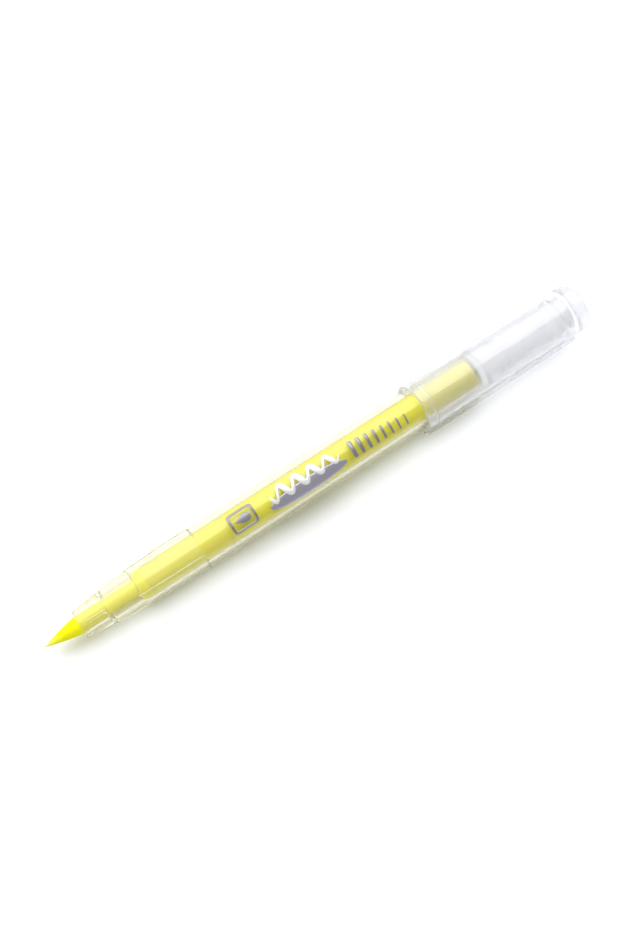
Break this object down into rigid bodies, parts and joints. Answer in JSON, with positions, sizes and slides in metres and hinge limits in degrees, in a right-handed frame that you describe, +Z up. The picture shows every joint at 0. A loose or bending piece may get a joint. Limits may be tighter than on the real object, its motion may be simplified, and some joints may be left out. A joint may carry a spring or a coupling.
{
  "type": "brush pen",
  "caption": "Clear-barrelled brush highlighter with a flexible nib, a fibre reservoir and a clear cap posted on its tail.",
  "frame": {"origin": "on the pen's axis, midway along the bare barrel between the nose and the rim of the posted cap", "axes": "+X along the pen towards the posted cap, so the nib points to -X; +Z up as the pen lies on its side, with the clip low on the -Y side"},
  "size_m": [0.1671, 0.0144, 0.0138],
  "materials": {
    "nib_fibre": "bonded fibre wetted with fluorescent yellow ink, matt",
    "ink_fibre": "fibre bundle soaked in fluorescent yellow ink",
    "reservoir_film": "thin clear film wrapped round the fibre",
    "clear_barrel_plastic": "clear polypropylene, moulded, glossy",
    "clear_cap_plastic": "clear polystyrene, moulded, glossy",
    "liner_plastic": "clear polypropylene, moulded, slightly hazy"
  },
  "bodies": {
    "pen": {"nib_root": "nib_fibre", "relay_core": "ink_fibre", "nose_cone": "clear_barrel_plastic", "reservoir_fibre": "ink_fibre", "reservoir_film": "reservoir_film", "barrel": "clear_barrel_plastic", "tail_plug": "clear_barrel_plastic"},
    "nib": {"nib_point": "nib_fibre"},
    "cap_liner": {"inner_cap": "liner_plastic"},
    "cap": {"cap_shell": "clear_cap_plastic", "cap_crown": "clear_cap_plastic"},
    "clip": {"clip_arm": "clear_cap_plastic"}
  },
  "joints": [
    {"name": "nib_flex", "type": "hinge", "parent": "pen", "child": "nib", "pos_m": [-0.0672, 0, 0], "axis": [0, 1, 0], "range_deg": [-14, 14], "stiffness_Nm_per_rad": 0.045},
    {"name": "cap_pull", "type": "slide", "parent": "pen", "child": "cap_liner", "axis": [1, 0, 0], "range_m": [0, 0.03]},
    {"name": "cap_twist", "type": "hinge", "parent": "cap_liner", "child": "cap", "pos_m": [0.0338, 0, 0], "axis": [1, 0, 0], "continuous": true},
    {"name": "clip_flex", "type": "hinge", "parent": "cap", "child": "clip", "pos_m": [0.0814, -0.00615, -0.00535], "axis": [0, -0.6561, 0.7547], "range_deg": [0, 2.5], "stiffness_Nm_per_rad": 4}
  ]
}
